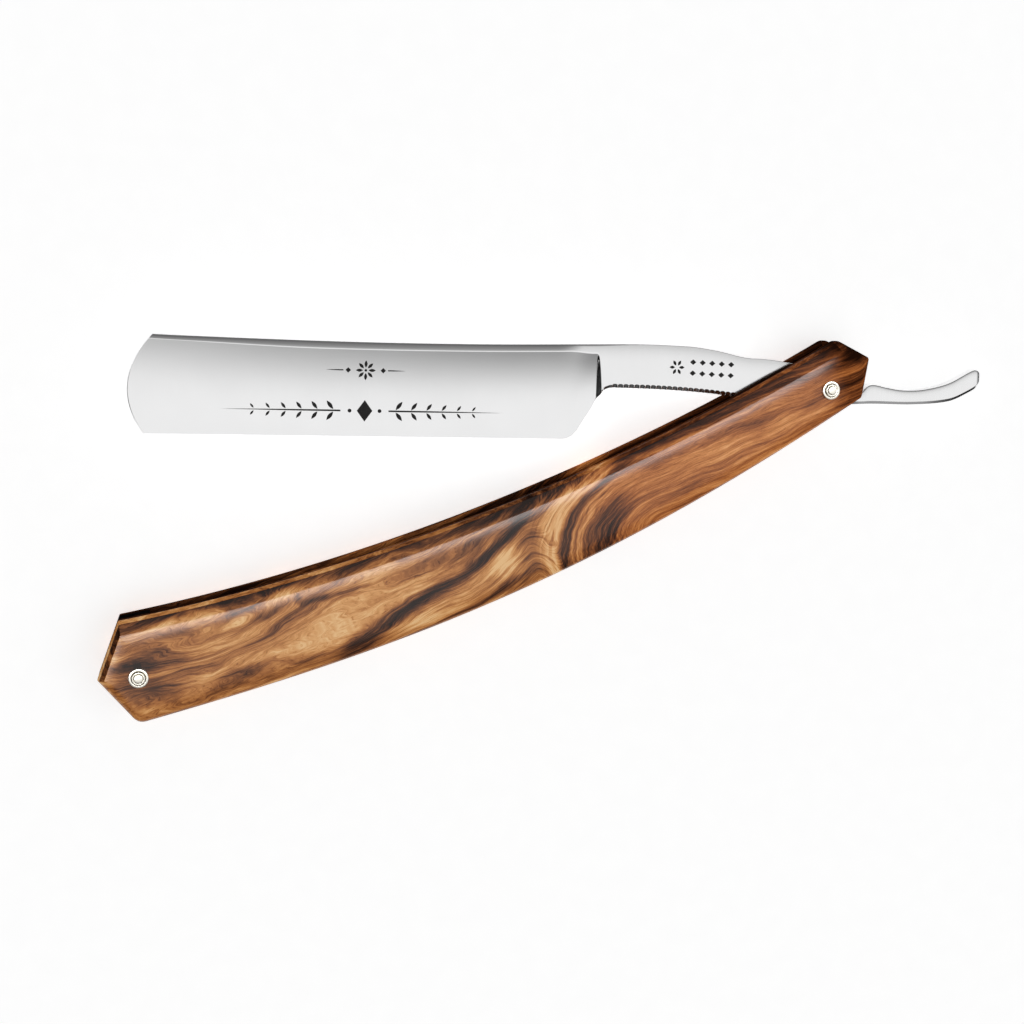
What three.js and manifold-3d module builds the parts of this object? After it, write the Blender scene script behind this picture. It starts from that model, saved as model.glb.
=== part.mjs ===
// Straight razor with wooden scales, in millimetres, +Z up.
//
// The razor lies on its side. The pivot axis is the Z axis, the blade points along -X with its
// edge towards -Y, and the handle points down and to the left of it. Z = 0 is the flat on the
// rear head of the pivot pin, which is the lowest point of the razor.
//
// Blade group: its own x runs from the tail of the tang (+) to the nose (-), y from edge to spine.
// Handle group: its own x runs from the head (+) to the wedge end (-), y from the belly of the
// scales to the side that the blade closes into.

import * as THREE from 'three';
import { mergeVertices } from 'three/addons/utils/BufferGeometryUtils.js';
import Module from 'manifold-3d';

const wasm = await Module();
wasm.setup();

// Pose of the two groups about the pivot, in degrees
const BLADE_TILT = -1.7;
const HANDLE_TILT = 20.9;

// Handle
const PIN_SPACING = 127.2;
const PIVOT_HALF_GAP = 1.8;
const WEDGE_HALF_GAP = 1.5;
const SCALE_BOW = 0.45;
const EDGE_STEPS = 20;
const WEDGE_LENGTH_FROM_PIN = 5.4;

// Cross-section of a scale, from its inner side outwards: an upright wall, a narrow steep facet, a
// broad flat facet and a slight crown. inset is measured in from the long edges, endInset from the
// ends, and rise from the inner side.
const SCALE_PROFILE = [
  { inset: 0, endInset: 0, rise: 0 },
  { inset: 0, endInset: 0, rise: 1.5 },
  { inset: 0.55, endInset: 0.35, rise: 2.05 },
  { inset: 2.3, endInset: 1.1, rise: 2.55 },
  { inset: 4.2, endInset: 3.0, rise: 2.75 },
];
const SCALE_THICKNESS = SCALE_PROFILE[SCALE_PROFILE.length - 1].rise;

// Outline of the scales, in the handle group's own x and y
const HEAD_APEX = new THREE.Vector2(4.4, 7.7);
const HEAD_END = new THREE.Vector2(9.15, 2.5);
const HEAD_HEEL = new THREE.Vector2(5.5, -3.6);
const TAIL_SHOULDER = new THREE.Vector2(-126.7, 9.75);
const TAIL_TIP = new THREE.Vector2(-133.5, 2.0);
const TAIL_HEEL = new THREE.Vector2(-130.3, -7.3);
const TOP_EDGE = new THREE.CubicBezierCurve(
  HEAD_APEX, new THREE.Vector2(-37, 1.5), new THREE.Vector2(-84, 1.3), TAIL_SHOULDER);
const BELLY_EDGE = new THREE.CubicBezierCurve(
  TAIL_HEEL, new THREE.Vector2(-88, -12.55), new THREE.Vector2(-52, -14.75), HEAD_HEEL);

// Pins and washers
const PIN_RADIUS = 0.7;
const HEAD_RADIUS = 0.8;
const HEAD_FLAT_RADIUS = 0.4;
const HEAD_HEIGHT = 0.25;
const HOLE_RADIUS = PIN_RADIUS + 0.06;
const WASHER_RADIUS = 1.6;
const WASHER_HEIGHT = 0.45;
const COLLAR_RADIUS = 1.1;
const COLLAR_HEIGHT = 0.28;
const THRUST_RADIUS = 2.2;
const THRUST_HEIGHT = 0.29;
const REST_GAP = 0.02;
const TURNED_SIDES = 24;

// Blade, with y measured from the pivot
const NOSE_X = -119.3;
const NOSE_ROUNDING = 13;
const NOSE_FOREMOST = 0.56;
const NOSE_FADE = 14;
const TANG_END_X = 7.3;
const TAIL_RISE_X = 8.7;
const TAIL_HUMP_X = 9.9;
const TAIL_CURL_X = 28.2;
const TAIL_CREST_X = 29.2;
const TAIL_ROUND_X = 30.4;
const TAIL_X = 31;
const SHOULDER_X = -40.8;
const SHOULDER_DEPTH = 0.7;
const EDGE_Y = -9.45;
const HOLLOW_TOP_DROP = 1.25;
const SPINE_HALF_THICKNESS = 2.0;
const TANG_HALF_THICKNESS = 1.42;
const TAIL_HALF_THICKNESS = 1.2;
const EDGE_HALF_THICKNESS = 0.04;
const HOLLOW_POWER = 2.1;
const CHAMFER = 0.35;
const JIMP_COUNT = 23;
const JIMP_PITCH = 0.98;
const JIMP_START_X = -38.4;
const JIMP_RADIUS = 0.42;
const JIMP_DEPTH = 0.3;

const wood = new THREE.MeshStandardMaterial({ color: 0x8a5a34, roughness: 0.3, metalness: 0 });
const steel = new THREE.MeshStandardMaterial({ color: 0xc4c6c8, roughness: 0.22, metalness: 1 });
const nickelSilver = new THREE.MeshStandardMaterial({
  color: 0xddd6c8, roughness: 0.25, metalness: 1,
});
const blackHorn = new THREE.MeshStandardMaterial({ color: 0x100e0d, roughness: 0.25, metalness: 0 });

const lerp = THREE.MathUtils.lerp;
const clamp = THREE.MathUtils.clamp;

// Half of the gap between the scales, which bow outwards between the two pins.
function halfGap(x) {
  const along = clamp(-x / PIN_SPACING, -0.1, 1.1);
  return lerp(PIVOT_HALF_GAP, WEDGE_HALF_GAP, along) + SCALE_BOW * 4 * along * (1 - along);
}

// Smooth curve y(x) through points listed by rising x.
function curveThrough(points) {
  const slopes = points.map((p, i) => {
    const before = points[Math.max(i - 1, 0)];
    const after = points[Math.min(i + 1, points.length - 1)];
    return (after[1] - before[1]) / (after[0] - before[0]);
  });
  return (x) => {
    const last = points.length - 2;
    const i = clamp(points.findIndex((p) => p[0] > x) - 1, 0, last);
    const k = x >= points[last + 1][0] ? last : i;
    const span = points[k + 1][0] - points[k][0];
    const t = clamp((x - points[k][0]) / span, 0, 1);
    const rise = points[k + 1][1] - points[k][1];
    const a = slopes[k] * span - rise;
    const b = rise - slopes[k + 1] * span;
    return points[k][1] + t * rise + t * (1 - t) * (a * (1 - t) + b * t);
  };
}

function toSolid(geometry) {
  const bare = geometry.clone();
  bare.deleteAttribute('normal');
  bare.deleteAttribute('uv');
  const merged = mergeVertices(bare, 1e-5);
  return new wasm.Manifold(new wasm.Mesh({
    numProp: 3,
    vertProperties: new Float32Array(merged.attributes.position.array),
    triVerts: new Uint32Array(merged.index.array),
  }));
}

function toGeometry(solid) {
  const { vertProperties, triVerts } = solid.getMesh();
  const geometry = new THREE.BufferGeometry();
  geometry.setAttribute('position', new THREE.BufferAttribute(new Float32Array(vertProperties), 3));
  geometry.setIndex(new THREE.BufferAttribute(new Uint32Array(triVerts), 1));
  geometry.computeVertexNormals();
  return geometry;
}

function geometryFrom(points, triangles) {
  const geometry = new THREE.BufferGeometry();
  geometry.setAttribute('position', new THREE.Float32BufferAttribute(points.flat(), 3));
  geometry.setIndex(triangles.flat());
  return geometry;
}

// Cuts upright round holes through a geometry, with room for a pin to turn.
function drill(geometry, centres) {
  const drillLength = 30;
  let solid = toSolid(geometry);
  for (const [x, y] of centres) {
    const bit = new THREE.CylinderGeometry(HOLE_RADIUS, HOLE_RADIUS, drillLength, TURNED_SIDES);
    bit.rotateX(Math.PI / 2);
    bit.translate(x, y, 0);
    solid = solid.subtract(toSolid(bit));
  }
  return toGeometry(solid);
}

// Stacks rings with equal point counts into a closed body. capFaces lists the triangles of one
// ring, counter-clockwise from above; rings run from the lowest to the highest.
function stackRings(rings, capFaces) {
  const count = rings[0].length;
  const top = (rings.length - 1) * count;
  const triangles = [];
  for (const [a, b, c] of capFaces) {
    triangles.push([c, b, a]);
    triangles.push([top + a, top + b, top + c]);
  }
  for (let level = 0; level < rings.length - 1; level += 1) {
    for (let i = 0; i < count; i += 1) {
      const low = level * count + i;
      const lowNext = level * count + (i + 1) % count;
      triangles.push([low, lowNext, lowNext + count]);
      triangles.push([low, lowNext + count, low + count]);
    }
  }
  return geometryFrom(rings.flat(), triangles);
}

// Moves each side of a convex outline inwards by its own distance and returns the new corners.
function insetOutline(outline, distances) {
  const lines = outline.map((point, i) => {
    const next = outline[(i + 1) % outline.length];
    const normal = new THREE.Vector2(point.y - next.y, next.x - point.x).normalize();
    return { normal, offset: normal.dot(point) + distances[i] };
  });
  return outline.map((point, i) => {
    const before = lines[(i + lines.length - 1) % lines.length];
    const after = lines[i];
    const cross = before.normal.cross(after.normal);
    return new THREE.Vector2(
      (before.offset * after.normal.y - after.offset * before.normal.y) / cross,
      (after.offset * before.normal.x - before.offset * after.normal.x) / cross);
  });
}

// Scale outline, counter-clockwise: top edge to the wedge end, tip, belly to the head, head end.
function scaleOutline() {
  return [
    ...TOP_EDGE.getPoints(EDGE_STEPS),
    TAIL_TIP,
    ...BELLY_EDGE.getPoints(EDGE_STEPS),
    HEAD_END,
  ];
}

// Triangles that span a scale outline in cross strips, so that they follow its bow.
function scaleCapFaces() {
  const tip = EDGE_STEPS + 1;
  const bellyLast = tip + 1 + EDGE_STEPS;
  const faces = [[EDGE_STEPS, tip, tip + 1], [bellyLast, bellyLast + 1, 0]];
  for (let i = 0; i < EDGE_STEPS; i += 1) {
    faces.push([i, i + 1, bellyLast - i - 1]);
    faces.push([i, bellyLast - i - 1, bellyLast - i]);
  }
  return faces;
}

// One scale, as rings that follow its cross-section. side is 1 for the front scale and -1 for the
// rear one, its mirror image.
function scaleGeometry(side) {
  const outline = scaleOutline();
  const isEnd = (i) => [EDGE_STEPS, EDGE_STEPS + 1].includes(i) || i > 2 * EDGE_STEPS + 1;
  const rings = SCALE_PROFILE.map(({ inset, endInset, rise }) => {
    const corners = insetOutline(outline, outline.map((p, i) => (isEnd(i) ? endInset : inset)));
    return corners.map((p) => [p.x, p.y, halfGap(p.x) + rise]);
  });
  const front = stackRings(rings, scaleCapFaces());
  const drilled = drill(front, [[0, 0], [-PIN_SPACING, 0]]);
  return side < 0 ? mirrorZ(drilled) : drilled;
}

// Mirrors a geometry in the XY plane and keeps its faces pointing out.
function mirrorZ(geometry) {
  const mirrored = geometry.clone().scale(1, 1, -1);
  const corners = mirrored.index.array;
  for (let i = 0; i < corners.length; i += 3) {
    [corners[i], corners[i + 1]] = [corners[i + 1], corners[i]];
  }
  return mirrored;
}

// The wedge fills the gap from just before its pin to the coffin-shaped end of the scales.
function wedgeGeometry() {
  const innerX = -PIN_SPACING + WEDGE_LENGTH_FROM_PIN;
  const fineSteps = EDGE_STEPS * 5;
  const wedgeTop = TOP_EDGE.getPoints(fineSteps).filter((p) => p.x < innerX);
  const wedgeBelly = BELLY_EDGE.getPoints(fineSteps).filter((p) => p.x < innerX);
  const outline = [...wedgeTop, TAIL_TIP, ...wedgeBelly];
  const faces = THREE.ShapeUtils.triangulateShape(outline, []);
  const atSide = (sign) => outline.map((p) => [p.x, p.y, sign * (halfGap(p.x) - REST_GAP)]);
  const block = stackRings([atSide(-1), atSide(1)], faces);
  return drill(block, [[-PIN_SPACING, 0]]);
}

// Turns a closed [radius, height] profile about the Z axis.
function turn(profile) {
  const points = profile.map(([r, z]) => new THREE.Vector2(r, z));
  const lathe = new THREE.LatheGeometry(points, TURNED_SIDES);
  lathe.rotateX(Math.PI / 2);
  return toGeometry(toSolid(lathe));
}

// Domed ring with a hole for the pin.
function ringGeometry(radius, height) {
  const shoulder = radius - height * 0.4;
  return turn([
    [HOLE_RADIUS, 0],
    [radius, 0],
    [radius, height * 0.35],
    [shoulder, height * 0.85],
    [(shoulder + HOLE_RADIUS) / 2, height],
    [HOLE_RADIUS, height],
    [HOLE_RADIUS, 0],
  ]);
}

// Plain shaft with a low dome peened over at both ends; halfLength reaches the underside of a head.
function pinGeometry(halfLength) {
  const top = halfLength + HEAD_HEIGHT;
  const domeRadius = (HEAD_RADIUS + HEAD_FLAT_RADIUS) / 2;
  const upper = [
    [PIN_RADIUS, halfLength],
    [HEAD_RADIUS, halfLength],
    [domeRadius, halfLength + HEAD_HEIGHT * 0.75],
    [HEAD_FLAT_RADIUS, top],
    [0, top],
  ];
  const lower = upper.map(([r, z]) => [r, -z]).reverse();
  return turn([...lower, ...upper]);
}

// Height of the scale's outer face at a pin, measured from the middle plane.
function faceHeight(x) {
  return halfGap(x) + SCALE_THICKNESS + REST_GAP;
}

// Upper outline: spine, top of the tang down to the notch behind the pivot, then the tail.
const spineY = curveThrough([
  [NOSE_X, 6.85], [-112, 6.6], [-85, 6.25], [-62, 6.4], [-35, 7.05], [-25, 6.9], [-21, 6.45],
  [-18.6, 6.02], [-16, 5.45], [-14, 5.17], [-11.5, 5.1], [-8, 4.75], [0, 3.4], [4.5, 2.0],
  [TANG_END_X, -0.4], [TAIL_RISE_X, 0.8], [TAIL_HUMP_X, 1.0], [12.4, 0.55], [15.5, 0.15],
  [19.5, 0.35], [24.5, 1.6], [TAIL_CREST_X, 4.0],
  [TAIL_ROUND_X, 3.8], [TAIL_X, 3.0],
]);
const shankBellyY = curveThrough([
  [-39.2, -0.45], [-30, -0.6], [-21.5, -1.08], [-10, -2.2], [0, -2.7], [9.4, -2.35], [17.5, -2.33],
  [24.6, -1.66], [TAIL_CURL_X, -0.15], [TAIL_ROUND_X, 1.3], [TAIL_X, 2.6],
]);
const HEEL = [
  [-46.8, EDGE_Y], [-45.4, -9.1], [-44.4, -8.0], [-41.0, -2.2], [-40.3, -0.95], [-39.2, -0.45],
];

// Lower outline of the blade: straight edge, rounded heel, then the underside of the shank.
function bellyY(x) {
  if (x <= HEEL[0][0]) return EDGE_Y;
  for (let i = 0; i < HEEL.length - 1; i += 1) {
    const [x0, y0] = HEEL[i];
    const [x1, y1] = HEEL[i + 1];
    if (x <= x1) return lerp(y0, y1, (x - x0) / (x1 - x0));
  }
  return shankBellyY(x);
}

// How far the round nose stands back from its foremost point, by fraction of the way from spine to
// edge.
function noseSetback(fraction) {
  return NOSE_ROUNDING * (fraction - NOSE_FOREMOST) ** 2;
}

// Half thickness of the forging before its edges are broken: thickest along the blade and shank.
const bodyHalfThickness = curveThrough([
  [-119, SPINE_HALF_THICKNESS - 0.15], [SHOULDER_X, SPINE_HALF_THICKNESS], [-20, 1.75],
  [-4, TANG_HALF_THICKNESS], [4, TANG_HALF_THICKNESS],
  [20, TAIL_HALF_THICKNESS], [TAIL_X, TAIL_HALF_THICKNESS - 0.2],
]);

// Half thickness at a point of the blade: a hollow grind in front of the shoulder, a slab with
// broken edges behind it.
function halfThickness(x, y) {
  const body = bodyHalfThickness(x);
  const above = spineY(x) - y;
  const below = y - bellyY(x);
  const brokenBelow = x > SHOULDER_X ? CHAMFER - below : 0;
  const broken = Math.max(0, CHAMFER - above, brokenBelow);
  if (x > SHOULDER_X - SHOULDER_DEPTH / 2) return body - broken;
  const hollowTop = spineY(x) - HOLLOW_TOP_DROP;
  if (y >= hollowTop) return body - broken;
  const reach = (y - EDGE_Y) / (hollowTop - EDGE_Y);
  return EDGE_HALF_THICKNESS + (body - EDGE_HALF_THICKNESS) * reach ** HOLLOW_POWER;
}

// Places along the blade, from nose to tail, at which it has a column of points: close together
// where the outline turns sharply, at the nose, the heel, the shoulder and the tip of the tail.
function bladeColumns() {
  const heelStart = HEEL[0][0];
  const shankStart = HEEL[HEEL.length - 1][0];
  const bodyStep = 8.5;
  const shankStep = 3.4;
  const tailStep = 3.5;
  const columns = [0, 2, 5, 10, 18].map((setback) => NOSE_X + setback);
  for (let x = NOSE_X + 18 + bodyStep; x < heelStart - 2; x += bodyStep) columns.push(x);
  columns.push(...HEEL.slice(0, 3).map(([x]) => x), SHOULDER_X - SHOULDER_DEPTH, SHOULDER_X);
  columns.push(...HEEL.slice(4).map(([x]) => x));
  for (let x = shankStart + shankStep; x < TANG_END_X - 2; x += shankStep) columns.push(x);
  columns.push(TANG_END_X - 1.4, TANG_END_X, (TANG_END_X + TAIL_RISE_X) / 2);
  columns.push(TAIL_RISE_X, TAIL_HUMP_X);
  for (let x = TAIL_HUMP_X + 2.5; x < TAIL_CURL_X; x += tailStep) columns.push(x);
  columns.push(TAIL_CURL_X, TAIL_CREST_X, TAIL_ROUND_X, TAIL_X);
  return columns;
}

// Fractions from spine to edge at which a column has points.
const BLADE_ROWS = [0, 0.022, 0.083, 0.15, 0.22, 0.3, 0.4, 0.5, 0.6, 0.7, 0.8, 0.9, 0.978, 1];

// The bare blade is a grid of points on its front, the same grid on its back, and a rim.
function bladeGeometry() {
  const columns = bladeColumns();
  const rows = BLADE_ROWS.length;
  const points = [];
  for (const side of [1, -1]) {
    for (const columnX of columns) {
      const fade = clamp(1 - (columnX - NOSE_X) / NOSE_FADE, 0, 1);
      for (const fraction of BLADE_ROWS) {
        const x = columnX + fade * noseSetback(fraction);
        const y = lerp(spineY(x), bellyY(x), fraction);
        points.push([x, y, side * halfThickness(x, y)]);
      }
    }
  }
  const back = columns.length * rows;
  const triangles = [];
  const quad = (a, b, c, d) => triangles.push([a, b, c], [a, c, d]);
  for (let i = 0; i < columns.length - 1; i += 1) {
    for (let j = 0; j < rows - 1; j += 1) {
      const here = i * rows + j;
      quad(here, here + 1, here + rows + 1, here + rows);
      quad(back + here, back + here + rows, back + here + rows + 1, back + here + 1);
    }
    const spine = i * rows;
    const edge = spine + rows - 1;
    quad(spine, spine + rows, back + spine + rows, back + spine);
    quad(edge, back + edge, back + edge + rows, edge + rows);
  }
  const tail = (columns.length - 1) * rows;
  for (let j = 0; j < rows - 1; j += 1) {
    quad(j, back + j, back + j + 1, j + 1);
    quad(tail + j, tail + j + 1, back + tail + j + 1, back + tail + j);
  }
  return geometryFrom(points, triangles);
}

// Rounded thumb notches across the underside of the shank.
function cutJimps(geometry) {
  const notchLength = 10;
  const notchSides = 10;
  let solid = toSolid(geometry);
  for (let i = 0; i < JIMP_COUNT; i += 1) {
    const x = JIMP_START_X + i * JIMP_PITCH;
    const notch = new THREE.CylinderGeometry(JIMP_RADIUS, JIMP_RADIUS, notchLength, notchSides);
    notch.rotateX(Math.PI / 2);
    notch.translate(x, shankBellyY(x) - JIMP_RADIUS + JIMP_DEPTH, 0);
    solid = solid.subtract(toSolid(notch));
  }
  return toGeometry(solid);
}

function piece(name, geometry, material, x = 0, z = 0) {
  const mesh = new THREE.Mesh(geometry, material);
  mesh.name = name;
  mesh.position.set(x, 0, z);
  return mesh;
}

// The pin through one end of the handle, with a domed washer and a collar outside each scale.
function pinStack(end, x) {
  const stack = new THREE.Group();
  const seat = faceHeight(x);
  const collarSeat = seat + WASHER_HEIGHT + REST_GAP;
  const headSeat = collarSeat + COLLAR_HEIGHT + REST_GAP;
  stack.add(piece(`${end}_pin`, pinGeometry(headSeat), nickelSilver, x));
  for (const [place, turned] of [['front', 0], ['rear', Math.PI]]) {
    const outside = new THREE.Group();
    const washer = ringGeometry(WASHER_RADIUS, WASHER_HEIGHT);
    const collar = ringGeometry(COLLAR_RADIUS, COLLAR_HEIGHT);
    outside.add(piece(`${end}_washer_${place}`, washer, nickelSilver, 0, seat));
    outside.add(piece(`${end}_collar_${place}`, collar, nickelSilver, 0, collarSeat));
    outside.position.x = x;
    outside.rotation.y = turned;
    stack.add(outside);
  }
  return stack;
}

// Thin flat washers between the tang and the scales.
function thrustWashers() {
  const profile = [
    [HOLE_RADIUS, 0],
    [THRUST_RADIUS, 0],
    [THRUST_RADIUS, THRUST_HEIGHT],
    [HOLE_RADIUS, THRUST_HEIGHT],
    [HOLE_RADIUS, 0],
  ];
  const low = TANG_HALF_THICKNESS + REST_GAP;
  return [
    piece('thrust_washer_front', turn(profile), nickelSilver, 0, low),
    piece('thrust_washer_rear', turn(profile), nickelSilver, 0, -low - THRUST_HEIGHT),
  ];
}

function buildHandle() {
  const handle = new THREE.Group();
  handle.add(piece('front_scale', scaleGeometry(1), wood));
  handle.add(piece('rear_scale', scaleGeometry(-1), wood));
  handle.add(piece('wedge', wedgeGeometry(), blackHorn));
  handle.add(pinStack('pivot', 0), pinStack('wedge', -PIN_SPACING));
  handle.add(...thrustWashers());
  handle.rotation.z = THREE.MathUtils.degToRad(HANDLE_TILT);
  return handle;
}

function buildBlade() {
  const drilled = drill(bladeGeometry(), [[0, 0]]);
  const blade = piece('blade', cutJimps(drilled), steel);
  blade.rotation.z = THREE.MathUtils.degToRad(BLADE_TILT);
  return blade;
}

const razor = new THREE.Group();
razor.add(buildHandle(), buildBlade());
razor.position.z = faceHeight(0) + WASHER_HEIGHT + COLLAR_HEIGHT + 2 * REST_GAP + HEAD_HEIGHT;

export default razor;
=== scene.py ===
import math

import bpy
import numpy as np
from mathutils import Euler, Matrix, Vector


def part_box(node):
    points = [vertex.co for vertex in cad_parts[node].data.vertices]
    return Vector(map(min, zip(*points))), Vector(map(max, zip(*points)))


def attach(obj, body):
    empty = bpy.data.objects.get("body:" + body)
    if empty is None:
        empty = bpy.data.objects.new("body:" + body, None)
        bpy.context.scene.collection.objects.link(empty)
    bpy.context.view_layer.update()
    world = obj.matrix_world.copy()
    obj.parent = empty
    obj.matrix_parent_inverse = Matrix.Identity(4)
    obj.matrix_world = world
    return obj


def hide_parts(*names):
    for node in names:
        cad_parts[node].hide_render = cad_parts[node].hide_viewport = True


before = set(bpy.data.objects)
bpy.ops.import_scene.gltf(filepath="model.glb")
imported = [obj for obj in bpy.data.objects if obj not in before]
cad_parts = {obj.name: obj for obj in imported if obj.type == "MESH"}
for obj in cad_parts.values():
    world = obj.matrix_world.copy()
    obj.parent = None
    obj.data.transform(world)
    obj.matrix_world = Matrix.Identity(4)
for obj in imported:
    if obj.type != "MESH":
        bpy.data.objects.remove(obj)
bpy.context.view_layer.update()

# The looks of a straight razor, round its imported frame. Every length is in millimetres, measured
# from the pivot, until a mesh is made. Handle coordinates run from the head (+x) to the wedge end
# (-x), with the belly of the scales at -y; blade coordinates from the nose (-x) to the tail (+x),
# with the cutting edge at -y.

MM = 0.001


# ---------------- places, from the frame

def box_centre(node):
    low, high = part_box(node)
    return (low + high) / 2


PIVOT = box_centre("pivot_pin")
WEDGE_PIN = box_centre("wedge_pin")
PIN_SPACING = (WEDGE_PIN - PIVOT).length / MM
HANDLE_TILT = math.atan2(PIVOT.y - WEDGE_PIN.y, PIVOT.x - WEDGE_PIN.x)
BLADE_TILT = math.radians(-1.7)
MID_HEIGHT = PIVOT.z / MM

# The holes that the pins go through, and how far the drill reaches past the middle plane
HOLE_RADIUS = 0.76
HOLE_SIDES = 48
DRILL_REACH = 9.0


def height_range(node):
    """Lowest and highest point of a node above the middle plane of the razor."""
    low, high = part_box(node)
    return low.z / MM - MID_HEIGHT, high.z / MM - MID_HEIGHT


# ---------------- mesh helpers

def place(points, tilt):
    """Turns points of a group about the pivot and puts them in the row frame, in metres."""
    points = np.asarray(points, float).reshape(-1, 3)
    c, s = math.cos(tilt), math.sin(tilt)
    x = points[:, 0] * c - points[:, 1] * s
    y = points[:, 0] * s + points[:, 1] * c
    return np.stack([x, y, points[:, 2] + MID_HEIGHT], 1) * MM


HANDLE_PARTS = []
TILTS = {"blade": BLADE_TILT, "handle": HANDLE_TILT}


def new_object(name, data):
    made = bpy.data.objects.new(name, data)
    bpy.context.scene.collection.objects.link(made)
    return made


def mark_sharp_edges(piece, degrees):
    piece.data.set_sharp_from_angle(angle=math.radians(degrees))


def make_piece(name, points, faces, body, material, nodes, sharp):
    """Makes a smooth-shaded mesh from group coordinates, hangs it on its body and hides the CAD
    nodes it stands for. Edges that turn by more than sharp degrees stay sharp."""
    mesh = bpy.data.meshes.new(name)
    places = place(points, TILTS[body]).tolist()
    mesh.from_pydata(places, [], [tuple(int(i) for i in f) for f in faces])
    mesh.validate()
    mesh.polygons.foreach_set("use_smooth", [True] * len(mesh.polygons))
    piece = new_object(name, mesh)
    mark_sharp_edges(piece, sharp)
    mesh.materials.append(material)
    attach(piece, body)
    if nodes:
        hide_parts(*nodes)
    if body == "handle":
        HANDLE_PARTS.append(piece)
    return piece


def loop_faces(first, second, count, flip=False):
    """Quads between two closed loops of count points."""
    i = np.arange(count)
    j = (i + 1) % count
    quads = np.stack([first + i, first + j, second + j, second + i], 1)
    return quads[:, ::-1] if flip else quads


def smoothstep(low, high, x):
    t = np.clip((np.asarray(x, float) - low) / (high - low), 0, 1)
    return t * t * (3 - 2 * t)


def curve_through(points):
    """Smooth curve y(x) through points listed by rising x."""
    xs, ys = np.array(points, float).T
    slopes = np.empty(len(xs))
    slopes[1:-1] = (ys[2:] - ys[:-2]) / (xs[2:] - xs[:-2])
    slopes[0] = (ys[1] - ys[0]) / (xs[1] - xs[0])
    slopes[-1] = (ys[-1] - ys[-2]) / (xs[-1] - xs[-2])

    def curve(x):
        x = np.asarray(x, float)
        k = np.clip(np.searchsorted(xs, x, side="right") - 1, 0, len(xs) - 2)
        span = xs[k + 1] - xs[k]
        t = np.clip((x - xs[k]) / span, 0, 1)
        rise = ys[k + 1] - ys[k]
        a = slopes[k] * span - rise
        b = rise - slopes[k + 1] * span
        return ys[k] + t * rise + t * (1 - t) * (a * (1 - t) + b * t)

    return curve


def stack_faces(count, levels):
    """Faces of a solid made of closed loops of count points, one above another."""
    faces = []
    for level in range(levels - 1):
        faces.extend(loop_faces(level * count, (level + 1) * count, count).tolist())
    faces.append(list(range(count))[::-1])
    faces.append(list(range((levels - 1) * count, levels * count)))
    return faces


def circle(x, y, radius, count):
    angles = np.linspace(0, 2 * math.pi, count, endpoint=False)
    return [(x + radius * math.cos(a), y + radius * math.sin(a)) for a in angles]


def drill(piece, centres, tilt, sharp):
    """Cuts upright holes for pins, centred on the x axis of a piece's group."""
    for x in centres:
        ring = circle(x, 0, HOLE_RADIUS, HOLE_SIDES)
        points = [[*p, -DRILL_REACH] for p in ring] + [[*p, DRILL_REACH] for p in ring]
        faces = [tuple(range(HOLE_SIDES))[::-1], tuple(range(HOLE_SIDES, 2 * HOLE_SIDES))]
        faces += [tuple(int(i) for i in f) for f in loop_faces(0, HOLE_SIDES, HOLE_SIDES)]
        mesh = bpy.data.meshes.new("drill_bit")
        mesh.from_pydata(place(points, tilt).tolist(), [], faces)
        bit = new_object("drill_bit", mesh)
        cut = piece.modifiers.new("hole", "BOOLEAN")
        cut.operation = "DIFFERENCE"
        cut.solver = "EXACT"
        cut.object = bit
        bpy.context.view_layer.objects.active = piece
        with bpy.context.temp_override(object=piece, active_object=piece):
            bpy.ops.object.modifier_apply(modifier=cut.name)
        bpy.data.objects.remove(bit)
    mark_sharp_edges(piece, sharp)


# ---------------- node helpers

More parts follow.
